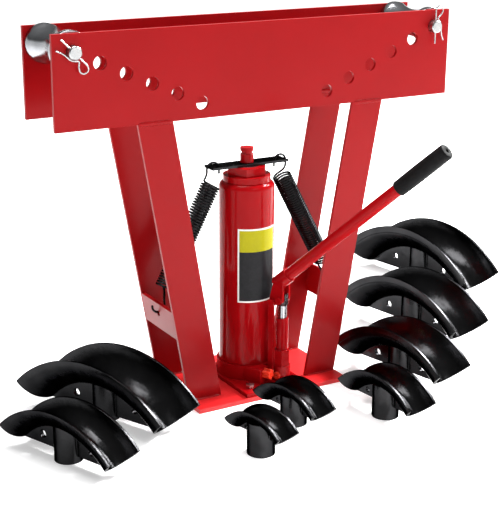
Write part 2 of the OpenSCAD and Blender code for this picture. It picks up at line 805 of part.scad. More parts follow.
module lever_links() {
    color(red) at_pump() for (side = [-1, 1]) difference() {
        translate([fulcrum[0], side * (link_in + link_t / 2), 0]) rotate([90, 0, 0])
            linear_extrude(link_t, center = true) {
                translate([-link_w / 2, link_pin_z]) square([link_w, fulcrum[1] - link_pin_z]);
                translate([0, link_pin_z]) circle(d = link_w);
                translate([0, fulcrum[1]]) circle(d = link_w);
            }
        cross_pin(fulcrum[0], link_pin_z, link_pin_d + 2 * running, -2 * link_out, 2 * link_out);
        cross_pin(fulcrum[0], fulcrum[1], fulcrum_d + 2 * running, -2 * link_out, 2 * link_out);
    }
}

// A headed pin through both links
module headed_pin(z, d) {
    cross_pin(fulcrum[0], z, d, -link_out, link_out + ring_t + pin_tail);
    cross_pin(fulcrum[0], z, d + 2 * ring_wide, -link_out - pin_cap_t, -link_out);
}

module link_pin() {
    color(steel) at_pump() headed_pin(link_pin_z, link_pin_d);
}

module fulcrum_pin() {
    color(steel) at_pump() headed_pin(fulcrum[1], fulcrum_d);
}

module link_rings() {
    color(steel) at_pump() {
        pin_ring(fulcrum[0], link_pin_z, link_pin_d, link_out);
        pin_ring(fulcrum[0], fulcrum[1], fulcrum_d, link_out);
    }
}

// Places things on the handle's line, with +Z along it and 0 at the socket's floor
module along_handle() {
    at_pump() translate([grip_line[0], 0, grip_line[1]]) rotate([0, 90 - handle_slope, 0]) children();
}

// Side view of a lever ear, from the two pins up to the socket
module ear_outline() {
    right = pump_r + ear_r;
    translate(fulcrum) circle(r = ear_r);
    translate([pump_r, plunger_pin_z]) circle(r = ear_r);
    polygon([
        [fulcrum[0] - ear_r, fulcrum[1]],
        [fulcrum[0], fulcrum[1] - ear_r],
        [pump_r, plunger_pin_z - ear_r],
        [right, plunger_pin_z],
        [right, grip_line[1]],
        [fulcrum[0] + ear_r / 4, grip_line[1]]
    ]);
}

module lever() {
    slot_d = piston_pin_d + side_room;
    slot_from = lever_arm * cos(lever_rest);
    color(red) difference() {
        union() {
            at_pump() for (side = [-1, 1]) translate([0, side * (ear_gap + ear_t) / 2, 0]) rotate([90, 0, 0])
                linear_extrude(ear_t, center = true) ear_outline();
            along_handle() translate([0, 0, -socket_back])
                cylinder(d = socket_d, h = socket_len + socket_back);
        }
        along_handle() cylinder(d = handle_d + 2 * running, h = handle_len);
        at_pump() {
            cross_pin(fulcrum[0], fulcrum[1], fulcrum_d + 2 * running, -socket_d, socket_d);
            translate([fulcrum[0], 0, fulcrum[1]]) rotate([0, -lever_rest, 0]) {
                cross_pin(slot_from, 0, slot_d, -socket_d, socket_d);
                cross_pin(lever_arm, 0, slot_d, -socket_d, socket_d);
                translate([slot_from, -socket_d, -slot_d / 2])
                    cube([lever_arm - slot_from, 2 * socket_d, slot_d]);
            }
        }
    }
}

module handle_bar() {
    color(red) along_handle() difference() {
        cylinder(d = handle_d, h = handle_len);
        translate([0, 0, -past]) cylinder(d = handle_d - 2 * handle_wall, h = handle_len + 2 * past);
    }
}

module handle_grip() {
    color(rubber) along_handle() translate([0, 0, handle_len + grip_end - grip_len]) difference() {
        cylinder(d = grip_d, h = grip_len);
        translate([0, 0, -past]) cylinder(d = handle_d, h = grip_len - grip_end + past);
        cylinder(d = grip_hole_d, h = grip_len + past);
    }
}

module release_valve() {
    color("orangered") at_pump() translate([valve_face, valve_y, valve_z]) rotate([0, 90, 0]) {
        translate([0, 0, -valve_stem_len]) cylinder(r = valve_stem_r, h = valve_stem_len + side_room);
        translate([0, 0, side_room]) cylinder(r = valve_d / 2 - valve_lobe_r, h = valve_len);
        for (i = [0 : valve_lobes - 1]) rotate([0, 0, 360 * i / valve_lobes])
            translate([valve_d / 2 - valve_lobe_r, 0, side_room]) cylinder(r = valve_lobe_r, h = valve_len);
    }
}

module check_balls() {
    color(steel) at_pump() {
        translate([pump_r, 0, block_z - spigot_deep - ball_r - 2 * ball_room]) sphere(r = ball_r);
        translate([valve_face - valve_stem_len - ball_r - ball_room, valve_y, valve_z]) sphere(r = ball_r);
    }
}

module overload_plug() {
    color("orangered") at_pump() translate([pump_r, -pump_boss_r, plug_z]) rotate([90, 0, 0]) difference() {
        union() {
            translate([0, 0, -plug_deep]) cylinder(r = plug_stem_r, h = plug_deep);
            cylinder(d = plug_d, h = plug_out);
        }
        cylinder(r = plug_eye_r, h = plug_out + past);
    }
}

// Cross section of a die's groove: a round floor for the pipe, and walls of a wider arc up to the lips
module groove_section(i) {
    mouth = die_half_w[i] - lip_t;
    shift = die_flare(i) * mouth
        / (die_groove(i) - mouth * sin(floor_arc) + die_flare(i) * cos(floor_arc));
    wall = [shift * cos(floor_arc), shift * sin(floor_arc)];
    translate([rim_r[i] - die_flare(i), 0]) intersection() {
        translate([wall[0], wall[1]]) circle(r = die_groove(i) + shift);
        translate([wall[0], -wall[1]]) circle(r = die_groove(i) + shift);
        union() {
            circle(r = die_groove(i));
            translate([-die_groove(i) * cos(floor_arc), -2 * mouth])
                square([die_groove(i) * cos(floor_arc) + die_flare(i) + past, 4 * mouth]);
        }
    }
}

// Sweeps a cross section round a die's arc
module die_sweep(i, half_arc) {
    translate([0, 0, die_heart(i)]) rotate([90, 0, 0]) rotate([0, 0, 90 - half_arc])
        rotate_extrude(angle = 2 * half_arc) children();
}

module bending_die(i) {
    half_w = die_half_w[i];
    web_hole_x = boss_d / 2 + web_hole_out * (die_end_x(i) - boss_d / 2);
    web_roof = die_heart(i) + sqrt(pow(die_belly(i), 2) - pow(web_hole_x, 2));
    color(black) translate([die_x[i], die_y[i], 0]) rotate([0, 0, die_turn[i]]) difference() {
        union() {
            die_sweep(i, die_half_arc) intersection() {
                translate([rim_r[i], 0]) circle(r = half_w);
                translate([0, -half_w]) square([rim_r[i], 2 * half_w]);
            }
            rotate([90, 0, 0]) linear_extrude(web_t, center = true) intersection() {
                translate([0, die_heart(i)]) circle(r = die_belly(i) + lip_t / 2);
                translate([-die_end_x(i), die_end_z(i)]) square([2 * die_end_x(i), rim_r[i]]);
            }
            cylinder(d = boss_d, h = die_heart(i) + die_belly(i) + boss_sink * half_w);
        }
        die_sweep(i, die_half_arc + arc_past) groove_section(i);
        translate([0, 0, -past]) cylinder(d = nose_d + 2 * socket_room, h = die_socket + past);
        for (side = [-1, 1])
            translate([side * web_hole_x, 0, die_end_z(i) + web_hole_up * (web_roof - die_end_z(i))])
                rotate([90, 0, 0])
                cylinder(d = min(web_hole_d, (web_roof - die_end_z(i)) / 2), h = 2 * half_w, center = true);
    }
}

side_plate(-frame_w / 2);  // front_plate
side_plate(frame_w / 2 - plate_t);  // rear_plate
leg(-1, -frame_w / 2);  // front_left_leg
leg(1, -frame_w / 2);  // front_right_leg
leg(-1, frame_w / 2 - leg_t);  // rear_left_leg
leg(1, frame_w / 2 - leg_t);  // rear_right_leg
base_plate();
cross_bar(-1);  // left_cross_bar
cross_bar(1);  // right_cross_bar
roller(-1);  // left_roller
roller(1);  // right_roller
roller_pin(-1, clip_turn_left);  // left_roller_pin
roller_pin(1, clip_turn_right);  // right_roller_pin
clip(-1, clip_turn_left);  // left_clip
clip(1, clip_turn_right);  // right_clip
jack_base();
jack_screws();
reservoir_tube();
reservoir_seals();
tank_nut();
gland_nut();
ram_wiper();
inner_cylinder();
filler_plug();
ram();
piston_head();
piston_seal();
ram_nose();
spring_plate();
spring(-1);  // left_spring
spring(1);  // right_spring
pump_cylinder();
pump_seal();
pump_piston();
piston_pin();
piston_pin_ring();
lever_links();
link_pin();
fulcrum_pin();
link_rings();
lever();
handle_bar();
handle_grip();
release_valve();
check_balls();
overload_plug();
bending_die(0);  // die_half_inch
bending_die(1);  // die_three_quarter_inch
bending_die(2);  // die_one_inch
bending_die(3);  // die_one_and_quarter_inch
bending_die(4);  // die_one_and_half_inch
bending_die(5);  // die_two_inch
bending_die(6);  // die_two_and_half_inch
bending_die(7);  // die_three_inch
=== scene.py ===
"""Looks of the hydraulic pipe bender: paint, castings, springs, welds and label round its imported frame."""

import logging
import math
from dataclasses import dataclass, field
from enum import Enum
from typing import Iterable

import bpy
from bpy.types import Material, Node, NodeSocket, Object
from mathutils import Matrix, Vector


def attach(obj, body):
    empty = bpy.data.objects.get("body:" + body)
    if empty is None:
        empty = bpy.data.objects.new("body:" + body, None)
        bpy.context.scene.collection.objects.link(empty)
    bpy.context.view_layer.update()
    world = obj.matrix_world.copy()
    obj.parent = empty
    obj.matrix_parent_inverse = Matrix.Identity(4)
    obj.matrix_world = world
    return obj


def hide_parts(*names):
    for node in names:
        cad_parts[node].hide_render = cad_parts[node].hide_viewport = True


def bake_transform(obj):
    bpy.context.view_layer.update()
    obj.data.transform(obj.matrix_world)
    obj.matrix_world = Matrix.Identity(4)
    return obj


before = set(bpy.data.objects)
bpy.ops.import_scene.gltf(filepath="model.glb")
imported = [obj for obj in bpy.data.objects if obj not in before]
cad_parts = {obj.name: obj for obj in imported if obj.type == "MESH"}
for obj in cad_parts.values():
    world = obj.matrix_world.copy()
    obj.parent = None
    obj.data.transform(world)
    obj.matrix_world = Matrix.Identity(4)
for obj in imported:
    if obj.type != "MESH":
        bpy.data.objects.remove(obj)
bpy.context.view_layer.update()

LOG = logging.getLogger("pipe_bender")
Colour = tuple[float, float, float]
Triple = tuple[float, float, float]
Span = tuple[float, float]
# Rounding of edges: the gap in metres that joins points, and the turns in degrees that are flat or sharp.
JOIN_GAP = 0.00001
FLAT_TURN = 0.5
SHARP_TURN = 38.0
ROUND_STEPS = 2


class Side(Enum):
    """Which half of the bender a piece belongs to, seen from the front."""

    LEFT = -1
    RIGHT = 1


class Face(Enum):
    """Which face of a leg a weld runs along."""

    OUTER = 1
    INNER = -1


class LabelField(Enum):
    """Printed fields of the reservoir's label, by material slot."""

    BORDER = 0
    HEAD = 1
    PANEL = 2


def unit(v: Vector) -> Vector:
    """Gives v at length one."""
    return v.normalized()


def circle(middle: Vector, first: Vector, second: Vector, r: float, count: int) -> list[Vector]:
    """Draws a circle.

    Args:
        middle: Its middle.
        first: Direction of its first point.
        second: Direction of the point a quarter turn on.
        r: Its radius.
        count: Number of points.

    Returns:
        Points round the circle.
    """
    turns = (2 * math.pi * k / count for k in range(count))
    return [middle + (first * math.cos(a) + second * math.sin(a)) * r for a in turns]


@dataclass(frozen=True)
class Grain:
    """Soft noise: features per metre, octaves of finer features, and the strength of these."""

    scale: float
    detail: float = 3.0
    rough: float = 0.5


@dataclass(frozen=True)
class Rub:
    """Rubbed edges: how far in, in which patches, how much at most, and over which span of the noise."""

    reach: float
    patches: Grain
    most: float
    span: Span


class NodeSheet:
    """A material under construction, with short ways to add and join its nodes."""

    edge_samples: int = 4
    soft_samples: int = 6
    edge_span: Span = (0.82, 0.99)
    # A mix of colours shares its sockets' names with other mixes, so these are told by their places.
    mix_share: int = 0
    mix_first: int = 6
    mix_second: int = 7
    mix_result: int = 2

    def __init__(self, name: str) -> None:
        """Starts a material with one surface shader.

        Args:
            name: Name of the material.
        """
        self.material = bpy.data.materials.new(name)
        self.material.use_nodes = True
        self.tree = self.material.node_tree
        self.tree.nodes.clear()
        self.shader = self.add("ShaderNodeBsdfPrincipled")
        output = self.add("ShaderNodeOutputMaterial")
        self.feed(self.shader.outputs["BSDF"], output.inputs["Surface"])
        self.place = self.add("ShaderNodeTexCoord").outputs["Object"]

    def add(self, kind: str, **settings: object) -> Node:
        """Adds a node.

        Args:
            kind: Blender's name of the node type.
            settings: Values of the node's own properties.

        Returns:
            The new node.
        """
        node = self.tree.nodes.new(kind)
        for key, value in settings.items():
            setattr(node, key, value)
        return node

    def feed(self, source: NodeSocket, target: NodeSocket) -> None:
        """Joins an output to an input."""
        self.tree.links.new(source, target)

    def set(self, **values: object) -> None:
        """Sets sockets of the shader that are the same all over.

        Args:
            values: Socket names with underscores for spaces, and their values.
        """
        for key, value in values.items():
            self.shader.inputs[key.replace("_", " ")].default_value = value

    def stretched(self, stretch: Triple) -> NodeSocket:
        """Gives the place on the object, scaled apart along the three axes.

        Args:
            stretch: Factor along each axis.

        Returns:
            The scaled place.
        """
        mapping = self.add("ShaderNodeMapping")
        mapping.inputs["Scale"].default_value = stretch
        self.feed(self.place, mapping.inputs["Vector"])
        return mapping.outputs["Vector"]

    def noise(self, grain: Grain, stretch: Triple | None = None) -> NodeSocket:
        """Adds soft noise in the object's own space.

        Args:
            grain: Size and detail of the noise.
            stretch: Factors along the axes, or None for even noise.

        Returns:
            The noise, from 0 to 1.
        """
        node = self.add("ShaderNodeTexNoise")
        node.inputs["Scale"].default_value = grain.scale
        node.inputs["Detail"].default_value = grain.detail
        node.inputs["Roughness"].default_value = grain.rough
        self.feed(self.stretched(stretch) if stretch else self.place, node.inputs["Vector"])
        return node.outputs["Fac"]

    def cells(self, scale: float) -> NodeSocket:
        """Adds a field of small cells, and gives the distance from their middles.

        Args:
            scale: Cells per metre.

        Returns:
            The distance, from 0 in a cell's middle.
        """
        node = self.add("ShaderNodeTexVoronoi")
        node.inputs["Scale"].default_value = scale
        self.feed(self.place, node.inputs["Vector"])
        return node.outputs["Distance"]

    def graded(self, source: NodeSocket, low: float, high: float,
               start: float = 0.3, end: float = 0.7) -> NodeSocket:
        """Maps a value from one range to another, without going past its ends.

        Args:
            source: The value.
            low: Result at start.
            high: Result at end.
            start: Value that gives low.
            end: Value that gives high.

        Returns:
            The mapped value.
        """
        node = self.add("ShaderNodeMapRange")
        for key, value in (("From Min", start), ("From Max", end), ("To Min", low), ("To Max", high)):
            node.inputs[key].default_value = value
        self.feed(source, node.inputs["Value"])
        return node.outputs["Result"]

    def mixed(self, share: NodeSocket, first: Colour | NodeSocket,
              second: Colour) -> NodeSocket:
        """Mixes two colours.

        Args:
            share: Share of the second colour.
            first: The colour, or a socket that gives it, where the share is 0.
            second: The colour where the share is 1.

        Returns:
            The mixed colour.
        """
        node = self.add("ShaderNodeMix", data_type="RGBA")
        self.feed(share, node.inputs[self.mix_share])
        if isinstance(first, tuple):
            node.inputs[self.mix_first].default_value = (*first, 1.0)
        else:
            self.feed(first, node.inputs[self.mix_first])
        node.inputs[self.mix_second].default_value = (*second, 1.0)
        return node.outputs[self.mix_result]

    def blotched(self, grain: Grain, first: Colour, second: Colour) -> NodeSocket:
        """Gives a colour that drifts in blotches from the first to the second."""
        return self.mixed(self.graded(self.noise(grain), 0.0, 1.0), first, second)

    def edges(self, reach: float) -> NodeSocket:
        """Marks what lies close to an edge.

        Args:
            reach: How far the mark reaches from the edge, in metres.

        Returns:
            1 at an edge, and 0 away from edges.
        """
        rounded = self.add("ShaderNodeBevel", samples=self.edge_samples)
        rounded.inputs["Radius"].default_value = reach
        true = self.add("ShaderNodeNewGeometry")
        dot = self.add("ShaderNodeVectorMath", operation="DOT_PRODUCT")
        self.feed(rounded.outputs["Normal"], dot.inputs[0])
        self.feed(true.outputs["Normal"], dot.inputs[1])
        return self.graded(dot.outputs["Value"], 1.0, 0.0, *self.edge_span)

    def rubbed(self, rub: Rub) -> NodeSocket:
        """Marks the patches along edges where a finish is rubbed.

        Args:
            rub: How the edges are rubbed.

        Returns:
            How far the finish is rubbed, from 0 to the most.
        """
        worn = self.add("ShaderNodeMath", operation="MULTIPLY")
        self.feed(self.edges(rub.reach), worn.inputs[0])
        self.feed(self.graded(self.noise(rub.patches), 0.0, rub.most, *rub.span), worn.inputs[1])
        return worn.outputs["Value"]

    def relief(self, layers: Iterable[tuple[NodeSocket, float]], soft: float = 0.0) -> None:
        """Raises the surface by several heights, one over the other.

        Args:
            layers: Heights from 0 to 1, each with its depth in metres.
            soft: Radius by which the light sees edges rounded, in metres, or 0 for sharp edges.
        """
        below: NodeSocket | None = None
        if soft:
            rounded = self.add("ShaderNodeBevel", samples=self.soft_samples)
            rounded.inputs["Radius"].default_value = soft
            below = rounded.outputs["Normal"]
        for height, depth in layers:
            node = self.add("ShaderNodeBump")
            node.inputs["Strength"].default_value = 1.0
            node.inputs["Distance"].default_value = depth
            self.feed(height, node.inputs["Height"])
            if below is not None:
                self.feed(below, node.inputs["Normal"])
            below = node.outputs["Normal"]
        if below is not None:
            self.feed(below, self.shader.inputs["Normal"])

    def colour(self, source: NodeSocket) -> None:
        """Gives the shader its colour."""
        self.feed(source, self.shader.inputs["Base Color"])

    def hazed(self, grain: Grain, gloss: Span) -> None:
        """Gives the shader a roughness that drifts between two values."""
        self.feed(self.graded(self.noise(grain), *gloss), self.shader.inputs["Roughness"])


@dataclass(frozen=True)
class SprayPaint:
    """Sprayed enamel on steel: a little uneven in tone, with fine orange peel and paler edges."""

    name: str
    colour: Colour
    deep: Colour
    edge: Colour
    gloss: Span
    shine: float
    coat: float
    peel: float
    soft: float = 0.0
    blotches: Grain = Grain(9.0, 4.0, 0.6)
    rub: Rub = Rub(0.0016, Grain(70.0, 5.0, 0.7), 0.8, (0.42, 0.62))
    haze: Grain = Grain(34.0, 4.0, 0.6)
    coat_gloss: float = 0.06
    dimples: Grain = Grain(420.0, 2.0)
    dust: Grain = Grain(1900.0, 2.0)
    dust_share: float = 0.25

    def material(self) -> Material:
        """Builds the paint's material.

        Returns:
            The material.
        """
        sheet = NodeSheet(self.name)
        tone = sheet.blotched(self.blotches, self.colour, self.deep)
        sheet.colour(sheet.mixed(sheet.rubbed(self.rub), tone, self.edge))
        sheet.hazed(self.haze, self.gloss)
        sheet.set(Coat_Weight=self.coat, Coat_Roughness=self.coat_gloss, Specular_IOR_Level=self.shine)
        sheet.relief((
            (sheet.noise(self.dimples), self.peel),
            (sheet.noise(self.dust), self.peel * self.dust_share),
        ), self.soft)
        return sheet.material


@dataclass(frozen=True)
class BlackCasting:
    """Black enamel over a rough casting: glossy, with the skin of the mould showing through.

    It is set as a dark metal, so that glancing light from the white room doesn't turn it grey.
    """

    name: str
    colour: Colour
    thin: Colour
    gloss: Span
    lumps: float
    skin: float
    soft: float
    bare: Colour = (0.075, 0.075, 0.078)
    glance: Colour = (0.12, 0.12, 0.12)
    blotches: Grain = Grain(26.0, 5.0, 0.65)
    rub: Rub = Rub(0.0014, Grain(95.0, 5.0, 0.7), 0.7, (0.46, 0.66))
    haze: Grain = Grain(55.0, 5.0, 0.6)
    waves: Grain = Grain(42.0, 3.0, 0.5)
    sand: Grain = Grain(330.0, 3.0, 0.6)
    dust: Grain = Grain(1400.0, 2.0, 0.6)
    dust_share: float = 0.3

    def material(self) -> Material:
        """Builds the casting's material.

        Returns:
            The material.
        """
        sheet = NodeSheet(self.name)
        tone = sheet.blotched(self.blotches, self.colour, self.thin)
        sheet.colour(sheet.mixed(sheet.rubbed(self.rub), tone, self.bare))
        sheet.hazed(self.haze, self.gloss)
        sheet.set(Metallic=1.0, Specular_Tint=(*self.glance, 1.0))
        sheet.relief((
            (sheet.noise(self.waves), self.lumps),
            (sheet.noise(self.sand), self.skin),
            (sheet.noise(self.dust), self.skin * self.dust_share),
        ), self.soft)
        return sheet.material


@dataclass(frozen=True)
class TurnedPlate:
    """Bright plating over turned steel, with fine marks round the axis of turning."""

    name: str
    colour: Colour
    dull: Colour
    gloss: Span
    stretch: Triple
    marks: float
    blotches: Grain = Grain(38.0, 4.0, 0.6)
    haze: Grain = Grain(60.0, 5.0, 0.65)
    turning: Grain = Grain(120.0, 3.0, 0.6)
    dust: Grain = Grain(900.0, 2.0)
    dust_share: float = 0.4

    def material(self) -> Material:
        """Builds the plating's material.

        Returns:
            The material.
        """
        sheet = NodeSheet(self.name)
        sheet.colour(sheet.blotched(self.blotches, self.colour, self.dull))
        sheet.hazed(self.haze, self.gloss)
        sheet.set(Metallic=1.0)
        sheet.relief((
            (sheet.noise(self.turning, self.stretch), self.marks),
            (sheet.noise(self.dust), self.marks * self.dust_share),
        ))
        return sheet.material


@dataclass(frozen=True)
class CellRubber:
    """Dark rubber with a skin of fine cells, as on a foam grip or a seal."""

    name: str
    colour: Colour
    dusty: Colour
    gloss: Span
    cell: float
    depth: float
    sheen: float
    fuzz: float = 0.5
    shine: float = 0.06
    blotches: Grain = Grain(60.0, 5.0, 0.7)
    haze: Grain = Grain(140.0, 4.0, 0.6)
    dust: Grain = Grain(2600.0, 2.0)
    dust_share: float = 0.4

    def material(self) -> Material:
        """Builds the rubber's material.

        Returns:
            The material.
        """
        sheet = NodeSheet(self.name)
        sheet.colour(sheet.blotched(self.blotches, self.colour, self.dusty))
        sheet.hazed(self.haze, self.gloss)
        sheet.set(Sheen_Weight=self.sheen, Sheen_Roughness=self.fuzz, Specular_IOR_Level=self.shine)
        sheet.relief((
            (sheet.cells(self.cell), self.depth),
            (sheet.noise(self.dust), self.depth * self.dust_share),
        ))
        return sheet.material


@dataclass(frozen=True)
class PrintedFilm:
    """A printed field of a film label: even ink with a faint grain under a clear face."""

    name: str
    ink: Colour
    faded: Colour
    gloss: Span = (0.3, 0.4)
    coat: float = 0.03
    coat_gloss: float = 0.15
    shine: float = 0.08
    blotches: Grain = Grain(160.0, 5.0, 0.7)
    haze: Grain = Grain(80.0)
    dust: Grain = Grain(700.0, 2.0)
    depth: float = 0.00002

    def material(self) -> Material:
        """Builds the film's material.

        Returns:
            The material.
        """
        sheet = NodeSheet(self.name)
        sheet.colour(sheet.blotched(self.blotches, self.ink, self.faded))
        sheet.hazed(self.haze, self.gloss)
        sheet.set(Coat_Weight=self.coat, Coat_Roughness=self.coat_gloss, Specular_IOR_Level=self.shine)
        sheet.relief(((sheet.noise(self.dust), self.depth),))
        return sheet.material


@dataclass(frozen=True)
class FloorPaper:
    """Pale studio paper, a little uneven, that glows as if lit from below, least under the part."""

    name: str
    colour: Colour
    tired: Colour
    glow: Span
    reach: Span
    gloss: Span = (0.6, 0.7)
    shine: float = 0.1
    blotches: Grain = Grain(1.5)
    haze: Grain = Grain(4.0)

    def material(self) -> Material:
        """Builds the paper's material.

        Returns:
            The material.
        """
        sheet = NodeSheet(self.name)
        sheet.colour(sheet.blotched(self.blotches, self.colour, self.tired))
        sheet.hazed(self.haze, self.gloss)
        away = sheet.add("ShaderNodeVectorMath", operation="LENGTH")
        sheet.feed(sheet.place, away.inputs[0])
        lit = sheet.graded(away.outputs["Value"], *self.glow, *self.reach)
        sheet.feed(lit, sheet.shader.inputs["Emission Strength"])
        sheet.set(Specular_IOR_Level=self.shine, Emission_Color=(1.0, 1.0, 1.0, 1.0))
        return sheet.material


@dataclass
class PaintShop:
    """Every finish on the bender, made once."""

    frame_red: Material = field(init=False)
    jack_red: Material = field(init=False)
    # The frame's red made lighter for the base plate: painted light from above on its upper face.
    base_plate_lit_red: Material = field(init=False)
    valve_red: Material = field(init=False)
    casting: Material = field(init=False)
    oxide: Material = field(init=False)
    chrome: Material = field(init=False)
    zinc: Material = field(init=False)
    ground: Material = field(init=False)
    foam: Material = field(init=False)
    seal: Material = field(init=False)
    label: list[Material] = field(init=False)

    def __post_init__(self) -> None:
        """Mixes the finishes."""
        self.frame_red = SprayPaint(
            "frame_red_paint", (0.298, 0.003, 0.0048), (0.272, 0.0026, 0.004), (0.4, 0.018, 0.018),
            (0.3, 0.322), 0.1, 0.03, 0.00003).material()
        self.jack_red = SprayPaint(
            "jack_red_enamel", (0.32, 0.0026, 0.0044), (0.27, 0.002, 0.0036), (0.46, 0.04, 0.04),
            (0.07, 0.14), 0.06, 0.04, 0.00003, 0.0008).material()
        # The base plate's paint is the frame's red made brighter, as painted light from above.
        self.base_plate_lit_red = SprayPaint(
            "base_plate_lit_red_paint", (0.64, 0.018, 0.02), (0.55, 0.012, 0.014), (0.7, 0.1, 0.1),
            (0.3, 0.42), 0.3, 0.1, 0.00005).material()
        self.valve_red = SprayPaint(
            "valve_orange_enamel", (0.70, 0.035, 0.010), (0.58, 0.02, 0.006), (0.72, 0.12, 0.06),
            (0.2, 0.32), 0.4, 0.3, 0.00003, 0.0006).material()
        self.casting = BlackCasting(
            "die_black_enamel", (0.017, 0.017, 0.0178), (0.025, 0.025, 0.026), (0.13, 0.26),
            0.0008, 0.00014, 0.0014).material()
        self.oxide = BlackCasting(
            "spring_black_oxide", (0.017, 0.017, 0.018), (0.026, 0.026, 0.027), (0.2, 0.36),
            0.0, 0.00004, 0.0).material()
        self.chrome = TurnedPlate(
            "roller_chrome", (0.44, 0.45, 0.47), (0.32, 0.33, 0.35), (0.1, 0.22),
            (1.0, 9.0, 1.0), 0.00005).material()
        self.zinc = TurnedPlate(
            "zinc_plate", (0.52, 0.52, 0.51), (0.40, 0.41, 0.42), (0.2, 0.34),
            (1.0, 6.0, 1.0), 0.00005).material()
        self.ground = TurnedPlate(
            "ground_steel", (0.42, 0.42, 0.43), (0.33, 0.33, 0.35), (0.12, 0.24),
            (1.0, 1.0, 10.0), 0.00004).material()
        self.foam = CellRubber(
            "grip_foam", (0.004, 0.004, 0.004), (0.009, 0.009, 0.0095), (0.5, 0.68),
            1100.0, 0.00016, 0.0).material()
        self.seal = CellRubber(
            "seal_rubber", (0.012, 0.012, 0.012), (0.02, 0.02, 0.02), (0.45, 0.6),
            2400.0, 0.00003, 0.05).material()
        self.label = [
            PrintedFilm("label_border", (0.82, 0.82, 0.8), (0.74, 0.74, 0.71)).material(),
            PrintedFilm("label_head", (0.42, 0.385, 0.006), (0.375, 0.345, 0.006)).material(),
            PrintedFilm("label_panel", (0.012, 0.012, 0.013), (0.018, 0.018, 0.02)).material(),
        ]


class Skin:
    """Points and faces of a piece in the making."""

    def __init__(self) -> None:
        """Starts with nothing."""
        self.points: list[Vector] = []
        self.faces: list[tuple[int, ...]] = []
        self.fields: list[int] = []

    def loft(self, rings: list[list[Vector]], capped: bool = True) -> None:
        """Adds a skin over closed rings of equal counts.

        Args:
            rings: Rings of points, in order along the piece.
            capped: Whether the first and last ring are closed.
        """
        first, count = len(self.points), len(rings[0])
        for ring in rings:
            self.points.extend(ring)
        for i in range(len(rings) - 1):
            a, b = first + i * count, first + (i + 1) * count
            for k in range(count):
                n = (k + 1) % count
                self.faces.append((a + k, a + n, b + n, b + k))
                self.fields.append(0)
        if capped:
            last = first + (len(rings) - 1) * count
            self.faces.append(tuple(first + k for k in reversed(range(count))))
            self.faces.append(tuple(last + k for k in range(count)))
            self.fields.extend((0, 0))

    def made(self, name: str, materials: list[Material]) -> Object:
        """Turns the skin into a smooth object in the scene.

        Args:
            name: Name of the piece.
            materials: Its materials, in the order of the faces' fields.

        Returns:
            The object.
        """
        mesh = bpy.data.meshes.new(name)
        mesh.from_pydata([tuple(p) for p in self.points], [], self.faces)
        for material in materials:
            mesh.materials.append(material)
        mesh.polygons.foreach_set("material_index", self.fields)
        mesh.validate()
        mesh.update()
        mesh.shade_smooth()
        piece = bpy.data.objects.new(name, mesh)
        bpy.context.scene.collection.objects.link(piece)
        return piece


def round_edges(piece: Object, width: float, holed: bool) -> None:
    """Rounds the sharp edges of a solid by modifiers, which leave its own mesh alone.

    Args:
        piece: The solid.
        width: Width of the rounding, in metres.
        holed: Whether flat faces are joined first, so that rounding doesn't fold them between holes.
    """
    weld = piece.modifiers.new("joined_faces", "WELD")
    weld.merge_threshold = JOIN_GAP
    if holed:
        plain = piece.modifiers.new("plain_faces", "DECIMATE")
        plain.decimate_type = "DISSOLVE"
        plain.angle_limit = math.radians(FLAT_TURN)
    bevel = piece.modifiers.new("rounded_edges", "BEVEL")
    bevel.width = width
    bevel.segments = ROUND_STEPS
    bevel.limit_method = "ANGLE"
    bevel.angle_limit = math.radians(SHARP_TURN)
    bevel.harden_normals = True
    bevel.miter_outer = "MITER_ARC"


def dress(names: Iterable[str], material: Material, edge: float = 0.0,
          holed: bool = False) -> None:
    """Gives CAD nodes a finish.

    Args:
        names: The nodes.
        material: The finish.
        edge: Width of the rounding of their edges, or 0 for none.
        holed: Whether holes pierce their flat faces, so close that rounding would fold them.
    """
    for name in names:
        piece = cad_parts[name]
        piece.data.materials.clear()
        piece.data.materials.append(material)
        if edge:
            round_edges(piece, edge, holed)
        LOG.info("dressed %s with %s", name, material.name)


@dataclass(frozen=True)
class WeldBead:
    """One painted weld bead along a straight seam, with crescent ripples and tapered ends.

    Lengths are in metres, rates in radians per metre, and the rest are shares and counts.
    """

    start: Vector
    end: Vector
    out: Vector
    width: float
    rise: float
    pitch: float = 0.0021
    steps: int = 5
    across: int = 9
    fewest: int = 4
    fade: float = 0.9
    end_share: float = 0.15
    trough: float = 0.74
    lead: float = 0.75
    sink: float = 0.0003
    root: float = 0.0012
    sway: float = 0.09
    sway_rate: float = 410.0
    sway_shift: float = 900.0
    shiver: float = 0.05
    shiver_rate: float = 1130.0

    def add_to(self, skin: Skin) -> None:
        """Adds the bead to a skin.

        Args:
            skin: The skin that takes the bead.
        """
        run = self.end - self.start
        length = run.length
        along, out = unit(run), unit(self.out)
        side = unit(along.cross(out))
        count = max(self.fewest, round(length / self.pitch)) * self.steps
        fade = self.fade * self.width
        rings = []
        for i in range(count + 1):
            s = length * i / count
            phase = (i % self.steps) / self.steps
            reach = min(1.0, s / fade, (length - s) / fade)
            taper = self.end_share + (1.0 - self.end_share) * math.sqrt(max(0.0, 1.0 - (1.0 - reach) ** 2))
            slow = self.sway * math.sin(s * self.sway_rate + length * self.sway_shift)
            wander = 1.0 + slow + self.shiver * math.sin(s * self.shiver_rate)
            swell = (self.trough + (1.0 - self.trough) * math.sin(math.pi * phase)) * taper
            ring = []
            for k in range(self.across):
                u = -1.0 + 2.0 * k / (self.across - 1)
                crown = math.sqrt(max(0.0, 1.0 - u * u))
                lead = min(self.lead * self.pitch * crown, length - s)
                ring.append(
                    self.start + along * (s + lead) + side * (u * 0.5 * self.width * wander * taper)
                    + out * (self.rise * swell * crown - self.sink))
            ring.append(self.start + along * s - out * self.root)
            rings.append(ring)
        skin.loft(rings)


